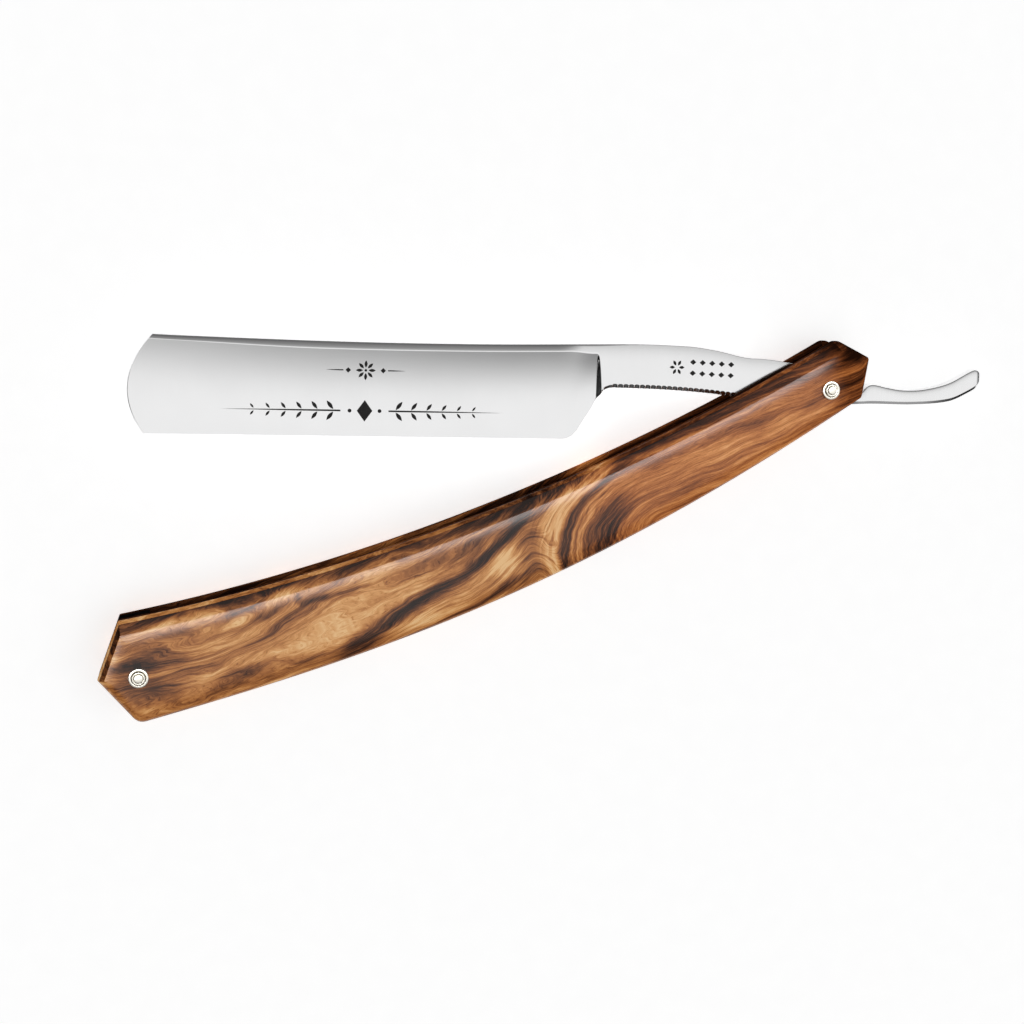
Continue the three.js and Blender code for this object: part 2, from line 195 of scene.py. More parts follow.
class Tree:
    """A short way of writing a node tree."""

    def __init__(self, tree):
        self.tree = tree
        tree.nodes.clear()

    def node(self, kind, inputs=None, **settings):
        made = self.tree.nodes.new(kind)
        for key, value in settings.items():
            setattr(made, key, value)
        self.fill(made, inputs or {})
        return made

    def fill(self, node, inputs):
        """Gives inputs of a node a value, or links them to another node's output."""
        for key, value in inputs.items():
            if isinstance(value, bpy.types.NodeSocket):
                self.tree.links.new(value, node.inputs[key])
            else:
                node.inputs[key].default_value = value

    def math(self, operation, *values, clamp=False):
        inputs = dict(enumerate(values))
        made = self.node("ShaderNodeMath", inputs, operation=operation, use_clamp=clamp)
        return made.outputs[0]

    def sum(self, *values):
        total = values[0]
        for value in values[1:]:
            total = self.math("ADD", total, value)
        return total

    def times(self, a, b):
        return self.math("MULTIPLY", a, b)

    def centred(self, value):
        """Noise, which runs from 0 to 1, as a change about 0."""
        return self.math("SUBTRACT", value, 0.5)

    def ramp(self, factor, stops):
        made = self.node("ShaderNodeValToRGB", {"Fac": factor})
        elements = made.color_ramp.elements
        while len(elements) < len(stops):
            elements.new(0.5)
        for element, (position, colour) in zip(elements, stops):
            element.position = position
            element.color = colour
        return made.outputs["Color"]

    def spread(self, value, low, high, to_low=0.0, to_high=1.0, smooth=True):
        """Maps low..high to to_low..to_high and stays there outside."""
        inputs = {"Value": value, "From Min": low, "From Max": high,
                  "To Min": to_low, "To Max": to_high}
        shape = "SMOOTHSTEP" if smooth else "LINEAR"
        made = self.node("ShaderNodeMapRange", inputs, interpolation_type=shape)
        return made.outputs["Result"]

    def noise(self, vector, scale=1.0, detail=2.0, roughness=0.5):
        inputs = {"Vector": vector, "Scale": scale, "Detail": detail, "Roughness": roughness}
        return self.node("ShaderNodeTexNoise", inputs).outputs["Fac"]

    def noise_along(self, value, scale):
        """Noise that depends on one number only."""
        inputs = {"W": value, "Scale": scale, "Detail": 2.0, "Roughness": 0.5}
        made = self.node("ShaderNodeTexNoise", inputs, noise_dimensions="1D")
        return made.outputs["Fac"]

    def stretched(self, vector, scale):
        return self.node("ShaderNodeMapping", {"Vector": vector, "Scale": scale}).outputs[0]

    def bump(self, height, strength, distance):
        inputs = {"Height": height, "Strength": strength, "Distance": distance * MM}
        return self.node("ShaderNodeBump", inputs).outputs[0]

    def mix(self, factor, a, b, blend="MIX"):
        inputs = {"Factor": factor, 6: a, 7: b}
        return self.node("ShaderNodeMix", inputs, data_type="RGBA", blend_type=blend).outputs[2]

    def combine(self, x, y, z):
        return self.node("ShaderNodeCombineXYZ", {"X": x, "Y": y, "Z": z}).outputs[0]

    def group_millimetres(self, tilt):
        """Object coordinates turned into those of a group, in millimetres from the pivot."""
        inputs = {"Vector": self.node("ShaderNodeTexCoord").outputs["Object"],
                  "Scale": (1 / MM,) * 3, "Rotation": (0, 0, -tilt),
                  "Location": (0, 0, -MID_HEIGHT)}
        return self.node("ShaderNodeMapping", inputs).outputs[0]


def srgb(red, green, blue):
    """A colour given as a screen shows it, 0 to 255, in linear light."""
    def line(v):
        v /= 255
        return v / 12.92 if v <= 0.04045 else ((v + 0.055) / 1.055) ** 2.4
    return (line(red), line(green), line(blue), 1.0)


def new_material(name):
    material = bpy.data.materials.new(name)
    material.use_nodes = True
    tree = Tree(material.node_tree)
    shader = tree.node("ShaderNodeBsdfPrincipled")
    tree.node("ShaderNodeOutputMaterial", {"Surface": shader.outputs[0]})
    return material, tree, shader


# ---------------- wood

# Colour of the wood by tone, from the darkest streaks to the palest patches, as seen on a screen
WOOD_TONES = [
    (0.0, (34, 18, 11)), (0.16, (66, 37, 22)), (0.3, (100, 58, 33)), (0.44, (142, 87, 48)),
    (0.58, (178, 114, 63)), (0.72, (207, 143, 84)), (0.86, (232, 173, 112)),
    (1.0, (248, 203, 148)),
]

# Strokes and patches of the figure, with one painted highlight and one painted shade among them:
# centre along and across the handle, half sizes, turn in degrees, and how much the tone changes in
# the middle
WOOD_PATCHES = [
    (-127.2, 0.2, 5.0, 4.6, 0, -0.34), (-123.8, 3.0, 3.4, 1.5, -32, -0.1),
    (-130.2, -0.6, 2.8, 3.4, 0, -0.2), (-126.0, -3.6, 4.2, 2.3, 0, -0.22),
    (-117.5, 4.0, 6.0, 1.2, -2, -0.06), (-109.0, 3.4, 5.0, 1.1, 14, -0.12),
    (-103.0, 1.8, 4.0, 0.9, 16, -0.2), (-117.0, 2.1, 8.5, 0.9, -3, -0.08),
    (-111.5, 0.8, 9.5, 3.8, 0, 0.26), (-121.0, -2.2, 3.8, 4.0, 10, -0.12),
    (-124.0, -5.4, 3.4, 1.8, 0, -0.1), (-118.5, -5.2, 5.0, 2.4, 0, 0.26),
    # The first stroke below is pale wood with a painted highlight along the crest at the wedge end
    (-117.0, 5.9, 9.0, 1.1, -6, 0.38), (-130.6, 4.0, 3.0, 3.0, 40, 0.14),
    (-101.5, 3.5, 6.0, 1.5, 10, 0.5), (-106.0, -5.0, 9.5, 2.0, -3, 0.26),
    (-128.0, -5.8, 2.4, 1.8, 0, 0.06), (-113.0, -3.4, 5.0, 1.0, 10, 0.12),
    (-59.5, -0.2, 3.4, 1.8, 24, -0.42), (-63.5, -2.3, 4.8, 1.7, 24, -0.46),
    (-69.0, -4.3, 5.4, 1.6, 20, -0.46), (-76.5, -5.7, 6.4, 1.6, 8, -0.46),
    (-84.0, -6.8, 6.0, 1.8, 8, -0.42), (-91.5, -8.6, 6.4, 2.2, 10, -0.52),
    (-100.0, -8.4, 5.5, 1.5, -8, -0.2), (-98.3, 2.2, 0.8, 1.2, 0, -0.3),
    (-95.6, 0.7, 3.2, 0.75, -14, -0.34), (-90.0, 0.1, 4.5, 0.7, -3, -0.32),
    (-80.8, 1.4, 2.8, 0.9, -10, -0.3), (-80.0, -3.3, 7.5, 1.4, 8, 0.14),
    (-64.0, -5.8, 3.8, 3.4, 60, 0.44), (-80.0, -9.5, 9.5, 1.5, 0, 0.36),
    (-65.0, -9.6, 6.0, 0.8, 12, -0.3), (-72.0, -10.9, 6.0, 0.5, 5, -0.16),
    (-46.0, -8.0, 3.6, 4.5, 10, -0.04), (-37.0, 1.0, 11.0, 1.2, -5, -0.2),
    (-24.0, -3.2, 17.0, 3.0, -3, 0.14), (5.5, 1.0, 9.0, 12.0, 0, -0.28),
    # The last patch below is painted shade on the head's upper corner, which turns away from the
    # light
    (-9.5, -1.4, 6.0, 2.6, 4, 0.14), (7.6, 5.4, 6.5, 3.2, -48, -0.5),
]


def oval_patch(t, vector, x, y, half_x, half_y, turn=0.0):
    """1 at the middle of an oval, falling smoothly to 0 just past its rim."""
    inputs = {"Vector": vector, "Location": (x, y, 0), "Rotation": (0, 0, math.radians(turn)),
              "Scale": (half_x, half_y, 1e4)}
    mapping = t.node("ShaderNodeMapping", inputs, vector_type="TEXTURE")
    away = t.node("ShaderNodeVectorMath", {0: mapping.outputs[0]}, operation="LENGTH")
    return t.spread(away.outputs["Value"], 1.15, 0.1)


# The layers of the wood turn down to the belly in nested arcs, round this place under the
# handle (distance from the pivot, and drop), squeezed along the handle
ARCS_ALONG, ARCS_DROP, ARCS_SQUEEZE = 36.0, 10.0, 0.61
SCALE_MIDDLE_HEIGHT = 4.55


def growth_height(t, place_in, u, y, z):
    """Height in the layers of the wood, and distance from the middle of the arcs. The layers run
    along the head half of the handle, turn down to the belly in nested arcs near the middle, and
    run on as slanting swirls to the wedge end."""
    past = t.math("MAXIMUM", t.math("SUBTRACT", u, ARCS_ALONG), 0.0)
    reach = t.times(past, ARCS_SQUEEZE)
    rise = t.math("ADD", y, ARCS_DROP)
    arcs = t.math("SQRT", t.sum(t.times(reach, reach), t.times(rise, rise)))
    streak = t.sum(0.3, t.spread(u, 55.0, 73.0, 0.0, -5.6), t.spread(u, 75.0, 99.0, 0.0, -3.6))
    above = t.math("SUBTRACT", y, streak)
    flatter = t.times(streak, t.spread(above, 0.0, 7.0, 0.0, 0.55))
    eye = t.times(oval_patch(t, place_in, -113.0, 0.4, 17.0, 6.0), 3.4)
    swirls = t.sum(above, flatter, 16.0, eye)
    slow = t.noise(t.stretched(place_in, (0.07, 0.2, 0.2)), detail=1.5)
    wisp = t.noise(t.stretched(place_in, (0.13, 0.5, 0.5)))
    wedge_half = t.spread(u, 58.0, 100.0, 0.25, 1.0)
    warp = t.sum(t.times(t.centred(slow), 3.0), t.times(t.times(t.centred(wisp), 2.2), wedge_half))
    depth = t.times(t.math("SUBTRACT", t.math("ABSOLUTE", z), SCALE_MIDDLE_HEIGHT), 1.1)
    swap = t.spread(u, 55.0, 60.0)
    mixed = t.sum(arcs, t.times(swap, t.math("SUBTRACT", swirls, arcs)))
    return t.sum(mixed, warp, depth), arcs


def wood_material():
    material, t, shader = new_material("figured_wood")
    place_in = t.group_millimetres(HANDLE_TILT)
    x, y, z = t.node("ShaderNodeSeparateXYZ", {0: place_in}).outputs
    u = t.times(x, -1.0)
    height, arcs = growth_height(t, place_in, u, y, z)

    # Streaks along the layers, broad and narrow, with fibres and pores
    head_half = t.spread(u, 60.0, 40.0)
    contrast = t.math("SUBTRACT", 1.0, t.times(head_half, 0.25))

    def streaks(along, across, detail, strength):
        place_at = t.combine(t.times(x, along), t.times(height, across), t.times(z, across * 0.5))
        return t.times(t.centred(t.noise(place_at, detail=detail, roughness=0.6)), strength)

    broad = t.times(streaks(0.04, 0.55, 1.5, 1.2), contrast)
    narrow = t.times(streaks(0.09, 2.2, 2.0, 0.86), contrast)
    fibres = streaks(0.5, 8.0, 3.0, 0.66)
    pores = t.noise(t.combine(t.times(x, 1.5), t.times(height, 14.0), t.times(z, 6.0)), detail=1.0)
    tone = t.sum(t.spread(head_half, 0.0, 1.0, 0.61, 0.6), broad, narrow, fibres,
                 t.spread(pores, 0.62, 0.72, 0.0, -0.14))

    # The figure: strokes and patches with wandering edges, one of them a painted highlight and one
    # a painted shade, and the arcs, dark inside, with fine ridges, a dark rim and a pale band round
    # them
    wander = t.noise(t.stretched(place_in, (0.16, 0.3, 0.3)), detail=3.0)
    shift = t.times(t.centred(wander), 3.2)
    figure_place = t.combine(t.sum(x, shift), t.sum(y, t.times(shift, 0.75)), 0.0)
    for *oval, change in WOOD_PATCHES:
        tone = t.sum(tone, t.times(oval_patch(t, figure_place, *oval), change))
    in_arcs = t.times(t.spread(u, 38.5, 44.0), t.spread(u, 60.0, 56.0))
    ring = t.sum(arcs, t.times(shift, 0.35))
    dark_arcs = t.times(t.spread(ring, 4.4, 6.0), t.spread(ring, 9.0, 7.6))
    rim_arc = t.times(t.spread(ring, 10.4, 11.3), t.spread(ring, 12.2, 11.5))
    pale_band = t.times(t.spread(ring, 11.7, 12.6), t.spread(ring, 15.4, 13.8))
    ridges = t.times(t.centred(t.noise_along(ring, 2.6)), 0.5)
    marks = t.sum(t.times(dark_arcs, -0.2), t.times(rim_arc, -0.26), t.times(pale_band, 0.5),
                  ridges)
    tone = t.sum(tone, t.times(marks, in_arcs), t.times(in_arcs, -0.06))

    # The facets and walls are painted by how they face the light: painted shade on the broad facet,
    # darkest towards its edge; painted light on the steep facet at the wedge end and painted shade
    # on it towards the head; and painted shade on the walls, which are also dull
    inset = t.node("ShaderNodeAttribute", attribute_name="inset").outputs["Fac"]
    wall = t.node("ShaderNodeAttribute", attribute_name="wall").outputs["Fac"]
    broad_facet_painted_shade = t.times(t.spread(inset, 0.5, 0.6), t.spread(inset, 2.4, 0.6, smooth=False))
    steep_facet_painted_light_and_shade = t.times(t.spread(inset, 0.6, 0.5), t.spread(u, 60.0, 110.0, -0.2, 0.14))
    wall_painted_shade = t.times(wall, t.spread(u, 84.0, 108.0, -0.24, -0.6))
    tone = t.sum(tone, t.times(broad_facet_painted_shade, -0.46), steep_facet_painted_light_and_shade, wall_painted_shade)

    stops = [(tone_at, srgb(*colour)) for tone_at, colour in WOOD_TONES]
    colour = t.ramp(tone, stops)
    warmth = t.mix(head_half, (1.0, 0.98, 0.93, 1.0), (1.0, 0.83, 0.7, 1.0))
    colour = t.mix(1.0, colour, warmth, "MULTIPLY")

    # The varnish is thin on the walls, on the outer edge of the wedge end, which is painted light,
    # and on the head
    uncoated = t.sum(wall, t.spread(inset, -0.2, -0.8), t.spread(u, 2.0, -4.0))
    grain = t.sum(fibres, t.times(pores, -0.5))
    t.fill(shader, {
        "Base Color": colour,
        "Roughness": t.spread(fibres, -0.12, 0.12, 0.5, 0.62),
        "Specular IOR Level": 0.0,
        "Coat Weight": t.math("SUBTRACT", 1.0, uncoated, clamp=True),
        "Coat Roughness": 0.19,
        "Coat IOR": 1.45,
        "Normal": t.bump(grain, 0.1, 0.02),
    })
    return material


# ---------------- metals and horn

def steel_material():
    """Polished steel, with faint grinding strokes from spine to edge."""
    material, t, shader = new_material("polished_steel")
    place_in = t.group_millimetres(BLADE_TILT)
    strokes = t.noise(t.stretched(place_in, (9.0, 0.25, 0.25)), detail=3.0, roughness=0.6)
    clouds = t.noise(place_in, scale=0.12, detail=3.0)
    shade = t.sum(t.spread(clouds, 0.3, 0.7, -0.012, 0.012, False), 0.9)
    t.fill(shader, {
        "Base Color": t.combine(shade, shade, t.times(shade, 1.002)),
        "Metallic": 1.0,
        "Roughness": t.spread(strokes, 0.3, 0.7, 0.15, 0.185),
        "Normal": t.bump(strokes, 0.03, 0.01),
    })
    return material


def nickel_material():
    material, t, shader = new_material("nickel_silver")
    place_in = t.group_millimetres(HANDLE_TILT)
    clouds = t.noise(place_in, scale=1.2, detail=3.0)
    colour = t.mix(t.spread(clouds, 0.35, 0.7), (0.9, 0.87, 0.78, 1), (0.8, 0.76, 0.67, 1))
    roughness = t.spread(clouds, 0.3, 0.7, 0.24, 0.32)
    t.fill(shader, {"Base Color": colour, "Metallic": 1.0, "Roughness": roughness})
    return material


def horn_material():
    material, t, shader = new_material("black_horn")
    place_in = t.group_millimetres(HANDLE_TILT)
    streaks = t.noise(t.stretched(place_in, (0.5, 2.4, 2.4)), detail=4.0)
    colour = t.mix(t.spread(streaks, 0.45, 0.8), srgb(6, 5, 5), srgb(34, 29, 27))
    roughness = t.spread(streaks, 0.3, 0.7, 0.55, 0.7)
    t.fill(shader, {"Base Color": colour, "Roughness": roughness, "Specular IOR Level": 0.0})
    return material


def etch_material():
    material, t, shader = new_material("etched_steel")
    place_in = t.group_millimetres(BLADE_TILT)
    grains = t.noise(place_in, scale=7.0, detail=3.0)
    colour = t.mix(t.spread(grains, 0.35, 0.7), srgb(34, 33, 33), srgb(74, 73, 72))
    roughness = t.spread(grains, 0.3, 0.7, 0.45, 0.65)
    t.fill(shader, {"Base Color": colour, "Metallic": 0.6, "Roughness": roughness})
    return material


WOOD = wood_material()
STEEL = steel_material()
NICKEL = nickel_material()
HORN = horn_material()
ETCH = etch_material()


# ---------------- blade

NOSE_X = -119.3
NOSE_ROUNDING = 13.0
NOSE_FOREMOST = 0.56
NOSE_FADE = 14.0
TAIL_X = 31.0
SHOULDER_X = -41.75
EDGE_Y = -9.45
HOLLOW_TOP_DROP = 1.25
HOLLOW_POWER = 2.1
EDGE_HALF_THICKNESS = 0.04
HEEL_START_X, HEEL_END_X = -47.0, -39.2
JIMP_COUNT = 23
JIMP_PITCH = 0.98
JIMP_START_X = -38.4
JIMP_HALF_WIDTH = 0.46
JIMP_DEPTH = 0.06
JIMP_CHAMFER = 0.16
CHAMFER = 0.5
CHAMFER_SLOPE = 0.6
TIP_LENGTH = 1.3
BLADE_SHARP = 34

spine_y = curve_through([
    (NOSE_X, 6.85), (-112, 6.6), (-85, 6.25), (-62, 6.4), (-35, 7.05), (-25, 6.9), (-21, 6.45),
    (-18.6, 6.02), (-16, 5.45), (-14, 5.17), (-11.5, 5.1), (-8, 4.75), (0, 3.4), (4.5, 2.0),
    (7.3, -0.4), (8.7, 0.8), (9.9, 1.0), (12.4, 0.55), (15.5, 0.15), (19.5, 0.35), (24.5, 1.6),
    (29.2, 4.0), (30.4, 3.8), (TAIL_X, 3.0),
])
shank_belly_y = curve_through([
    (HEEL_END_X, -0.45), (-30, -0.6), (-21.5, -1.08), (-10, -2.2), (0, -2.7), (9.4, -2.35),
    (17.5, -2.33), (24.6, -1.66), (28.2, -0.15), (30.4, 1.3), (TAIL_X, 2.6),
])
heel_y = curve_through([
    (-48.2, EDGE_Y), (HEEL_START_X, EDGE_Y), (-46.0, -9.28), (-45.2, -8.8), (-44.4, -7.95),
    (-43.4, -6.3), (-42.2, -4.45), (-41.55, -3.2), (-41.12, -2.25), (-40.78, -1.52),
    (-40.38, -0.95), (-39.9, -0.68), (HEEL_END_X, -0.45), (-38.2, -0.36),
])
body_half_thickness = curve_through([
    (-119, 1.85), (-40.8, 2.0), (-20, 1.75), (-4, 1.42), (4, 1.42), (20, 1.2), (TAIL_X, 1.0),
])


def notch_depth(x):
    """1 in the middle of a thumb notch and 0 between two notches."""
    step = (x - JIMP_START_X) / JIMP_PITCH
    inside = (step > -0.5) & (step < JIMP_COUNT - 0.5)
    away = np.abs(step - np.round(step)) / JIMP_HALF_WIDTH
    return np.where(inside, np.sqrt(np.clip(1 - away ** 2, 0, 1)), 0.0)


def belly_y(x):
    x = np.asarray(x, float)
    beyond_heel = np.where(x < HEEL_END_X, heel_y(x), shank_belly_y(x))
    return np.where(x < HEEL_START_X, EDGE_Y, beyond_heel) + JIMP_DEPTH * notch_depth(x)


def chamfer_width(x):
    return CHAMFER + JIMP_CHAMFER * notch_depth(x)


def hollow_top_drop(x):
    """How far below the spine the hollow starts: less at the nose, more beside the shoulder."""
    share = 0.66 + 0.34 * smoothstep(-116, -88, x) + 0.3 * smoothstep(-46.5, -42, x)
    return HOLLOW_TOP_DROP * share


def round_off(away, width, depth):
    """Drop of an elliptical rounding of that width, by distance from the edge."""
    k = np.clip(1 - away / width, 0, 1)
    return depth * (1 - np.sqrt(1 - k * k))


def blade_half_thickness(x, y, above, below):
    """Half thickness at a point that lies above below the spine and below above the belly."""
    body = body_half_thickness(x)
    drop = hollow_top_drop(x)
    hollow_top = spine_y(x) - drop
    reach = np.clip((y - EDGE_Y) / (hollow_top - EDGE_Y), 0, 1)
    power = HOLLOW_POWER + 0.35 * smoothstep(-90, -45, x) + 0.5 * smoothstep(-46, -42, x)
    hollow = EDGE_HALF_THICKNESS + (body - EDGE_HALF_THICKNESS) * reach ** power
    depth = body - hollow
    shank = smoothstep(0, 1, (x - SHOULDER_X - 0.28 * depth) / (0.42 + 0.1 * depth))
    half = hollow + depth * shank
    # The spine of the blade is rounded over its whole flat; the shank and the tail only at their
    # edge, with a gentle crown, and both are chamfered underneath.
    lean = 0.12 * np.clip(drop - above, 0, None)
    spine = round_off(above, drop, 0.38) + lean
    sharper = 0.34 - 0.28 * smoothstep(-43, -33, x)
    crest = round_off(above, sharper, 0.7 * sharper) + 0.12 * np.clip(1 - above / 3, 0, 1) ** 2.2
    crown = round_off(above, 0.2, 0.1) + round_off(above, 1.5, 0.12)
    flat = smoothstep(-49, -44, x)
    tail = smoothstep(3, 12, x)
    top_drop = spine * (1 - flat) + flat * (crest * (1 - tail) + crown * tail)
    slope = CHAMFER_SLOPE * (1 - 0.5 * smoothstep(3, 8, x) + 0.3 * smoothstep(19, 25, x))
    bevel = slope * np.clip(chamfer_width(x) - below, 0, None)
    low_drop = bevel * smoothstep(-41.6, -40.2, x)
    half = half - top_drop - low_drop
    tip = np.clip((x - (TAIL_X - TIP_LENGTH)) / TIP_LENGTH, 0, 1)
    half = half * np.sqrt(1 - 0.97 * tip ** 2)
    return np.maximum(half, 0.02)


def spaced(start, stop, step):
    count = max(1, int(round((stop - start) / step)))
    return list(np.linspace(start, stop, count, endpoint=False))


def blade_columns():
    """Where the blade has points along its length."""
    columns = [NOSE_X + c for c in (0, 0.02, 0.05, 0.09, 0.14, 0.2, 0.3, 0.45)]
    columns += spaced(NOSE_X + 0.65, NOSE_X + 5, 0.35) + spaced(NOSE_X + 5, -49, 1.0)
    columns += spaced(-49, -41.8, 0.17) + spaced(-41.8, -40.6, 0.035)
    columns += spaced(-40.6, -38.9, 0.1) + spaced(-38.9, -16.3, JIMP_PITCH / 12)
    columns += spaced(-16.3, 5, 0.6) + spaced(5, 13, 0.2) + spaced(13, 27, 0.5)
    columns += spaced(27, 30.4, 0.12) + spaced(30.4, TAIL_X, 0.04) + [TAIL_X]
    return np.array(columns)


def blade_heights(x):
    """Distances below the spine at which every column has points, one row per column, and the
    full height of every column."""
    top = np.array([0, .012, .04, .08, .13, .19, .27, .36, .47, .6, .75, .9, 1.05, 1.2, 1.29,
                    1.34, 1.36, 1.41, 1.5])
    top = top * (hollow_top_drop(x) / HOLLOW_TOP_DROP)[:, None]
    chamfer_steps = np.array([0, .03, .12, .3, .5, .7, .88, .97, 1.0])
    beyond = np.array([0.02, 0.1, 0.22, 0.4])
    full = (spine_y(x) - belly_y(x))[:, None]
    shrink = np.minimum(1, full / 3.3)
    chamfer = chamfer_width(x)[:, None]
    low = np.concatenate([chamfer * chamfer_steps, chamfer + beyond], axis=1) * shrink
    high = top * shrink
    share = np.linspace(0, 1, 30)[1:-1]
    middle = high[:, -1:] + (full - low[:, -1:] - high[:, -1:]) * share
    return np.concatenate([high, middle, full - low[:, ::-1]], axis=1), full


def build_blade():
    columns = blade_columns()
    down, full = blade_heights(columns)
    fraction = down / full
    x_flat = np.broadcast_to(columns[:, None], fraction.shape)
    fade = np.clip(1 - (x_flat - NOSE_X) / NOSE_FADE, 0, 1)
    x = x_flat + fade * NOSE_ROUNDING * (fraction - NOSE_FOREMOST) ** 2
    y = spine_y(x) - fraction * (spine_y(x) - belly_y(x))
    above = spine_y(x) - y
    below = y - belly_y(x)
    half = blade_half_thickness(x, y, np.maximum(above, 0), np.maximum(below, 0))
    rim = np.clip(1 - (x_flat - NOSE_X) / 0.14, 0, 1)
    half = half * (1 - 0.35 * rim ** 2)
    front = np.stack([x, y, half], 2)
    back = np.stack([x, y, -half], 2)[:, ::-1]
    rings = np.concatenate([front, back], axis=1)
    count = rings.shape[1]
    faces = []
    for i in range(len(columns) - 1):
        faces.extend(loop_faces(i * count, (i + 1) * count, count).tolist())
    rows = count // 2
    last = (len(columns) - 1) * count
    for j in range(rows - 1):
        k = count - 1 - j
        faces.append((j, k, k - 1, j + 1))
        faces.append((last + j, last + j + 1, last + k - 1, last + k))
    blade = make_piece("razor_blade", rings.reshape(-1, 3), faces, "blade", STEEL,
                       ["blade"], BLADE_SHARP)
    drill(blade, [0], BLADE_TILT, BLADE_SHARP)


build_blade()


# ---------------- scales

PIVOT_HALF_GAP = 1.8
WEDGE_HALF_GAP = 1.5
SCALE_BOW = 0.45
HEAD_APEX = (4.4, 7.7)
HEAD_END = (9.15, 2.5)
HEAD_HEEL = (5.5, -3.6)
TAIL_SHOULDER = (-126.7, 9.75)
TAIL_TIP = (-133.5, 2.0)
TAIL_HEEL = (-130.3, -7.3)
TOP_CONTROLS = [HEAD_APEX, (-37, 1.5), (-84, 1.3), TAIL_SHOULDER]
BELLY_CONTROLS = [TAIL_HEEL, (-88, -12.55), (-52, -14.75), HEAD_HEEL]

# How much each corner of the outline is rounded, in the order of the sides below
CORNER_ROUNDING = [0.18, 0.2, 1.3, 0.3, 0.4, 0.8]

# How many points each side has between its corners, how close to a corner the outer ones lie, and
# where the points of a rounded corner lie along its curve
SIDE_COUNTS = [220, 8, 8, 220, 6, 6]
CORNER_GUARDS = (0, 0.04, 0.1, 0.25)
CORNER_STEPS = (0.2, 0.4, 0.6, 0.8)

# Section of a scale: (inset from the long edges, inset from the ends, rise above the inner face,
# rounding of the corner there)
WALL_RISE = 1.5
SCALE_SECTION = [
    (0.1, 0.1, 0.0, 0.0),
    (0.0, 0.0, 0.1, 0.05),
    (0.0, 0.0, WALL_RISE, 0.07),
    (0.55, 0.35, 2.05, 0.06),
    (2.3, 1.1, 2.55, 0.05),
]
CROWN_WIDTH, CROWN_END_WIDTH, CROWN_RISE = 2.5, 2.3, 0.2
END_ROUNDING = 1.9
SCALE_SHARP = 60

# What the wood's "inset" attribute says where it isn't a distance from the handle's back: on the
# faceted wedge end, the outer facet, painted light, and the inner one, painted shade, and on all
# plain surfaces
PAINTED_LIGHT_END_FACET, PAINTED_SHADE_END_FACET, NO_FACET = -1.0, 0.62, 9.0


def half_gap(x):
    along = np.clip(-np.asarray(x, float) / PIN_SPACING, -0.1, 1.1)
    straight = PIVOT_HALF_GAP + (WEDGE_HALF_GAP - PIVOT_HALF_GAP) * along
    return straight + SCALE_BOW * 4 * along * (1 - along)


def bezier(controls, count):
    t = np.linspace(0, 1, count)[:, None]
    a, b, c, d = (np.array(p, float) for p in controls)
    return (1 - t) ** 3 * a + 3 * t * (1 - t) ** 2 * b + 3 * t ** 2 * (1 - t) * c + t ** 3 * d


OUTLINE_SIDES = [
    bezier(TOP_CONTROLS, 500),
    np.array([TAIL_SHOULDER, TAIL_TIP], float),
    np.array([TAIL_TIP, TAIL_HEEL], float),
    bezier(BELLY_CONTROLS, 500),
    np.array([HEAD_HEEL, HEAD_END], float),
    np.array([HEAD_END, HEAD_APEX], float),
]
LONG_SIDES = (0, 3)
FACETED_SIDES = (0, 1)


def shift_side(side, distance):
    """A side moved inwards, with both ends run on straight."""
    tangent = np.gradient(side, axis=0)
    tangent /= np.linalg.norm(tangent, axis=1)[:, None]
    inward = np.stack([-tangent[:, 1], tangent[:, 0]], 1)
    moved = side + inward * distance
    return np.concatenate([[moved[0] - tangent[0] * 12], moved, [moved[-1] + tangent[-1] * 12]])


def crossing(path, line, near):
    """Where a path crosses a straight line, nearest to a point."""
    origin, direction = line[1], line[2] - line[1]
    normal = np.array([-direction[1], direction[0]])
    away = (path - origin) @ normal
    hits = np.nonzero(away[:-1] * away[1:] <= 0)[0]
    share = (away[hits] / (away[hits] - away[hits + 1]))[:, None]
    found = path[hits] + (path[hits + 1] - path[hits]) * share
    return found[np.argmin(np.linalg.norm(found - near, axis=1))]


def path_steps(path):
    return np.concatenate([[0], np.cumsum(np.linalg.norm(np.diff(path, axis=0), axis=1))])


def along_path(path, distances):
    steps = path_steps(path)
    return np.stack([np.interp(distances, steps, path[:, k]) for k in (0, 1)], 1)


def round_corner(first, corner, last, shares):
    """Points on the curve from first to last that leaves and arrives towards the corner."""
    return [(1 - s) ** 2 * first + 2 * s * (1 - s) * corner + s * s * last for s in shares]


def side_samples(length, start, end, count):
    """Distances along a side between two rounded corners, close together near them."""
    guards = np.array(CORNER_GUARDS)
    fit = min(1, 0.9 * length / (start + end + 2 * guards[-1] + 0.5))
    start, end, guards = start * fit, end * fit, guards * fit
    inner_start, inner_end = start + 1.6 * guards[-1], length - end - 1.6 * guards[-1]
    inner = np.linspace(inner_start, inner_end, count)
    return np.concatenate([start + guards, inner, (length - end - guards)[::-1]])


def side_insets(inset, end_inset, rise):
    """Inset of each side at one level: faceted along the back, smoothly rounded elsewhere."""
    last_inset, _, last_rise, _ = SCALE_SECTION[-1]
    share = (rise - WALL_RISE) / (last_rise + CROWN_RISE - WALL_RISE)
    rounded = 1 - math.sqrt(1 - min(1, max(0, share)) ** 2)
    insets = []
    for i in range(len(OUTLINE_SIDES)):
        faceted, full = end_inset, END_ROUNDING
        if i in LONG_SIDES:
            faceted, full = inset, last_inset + CROWN_WIDTH
        smooth = i not in FACETED_SIDES and rise > WALL_RISE
        insets.append(full * rounded if smooth else faceted)
    return insets


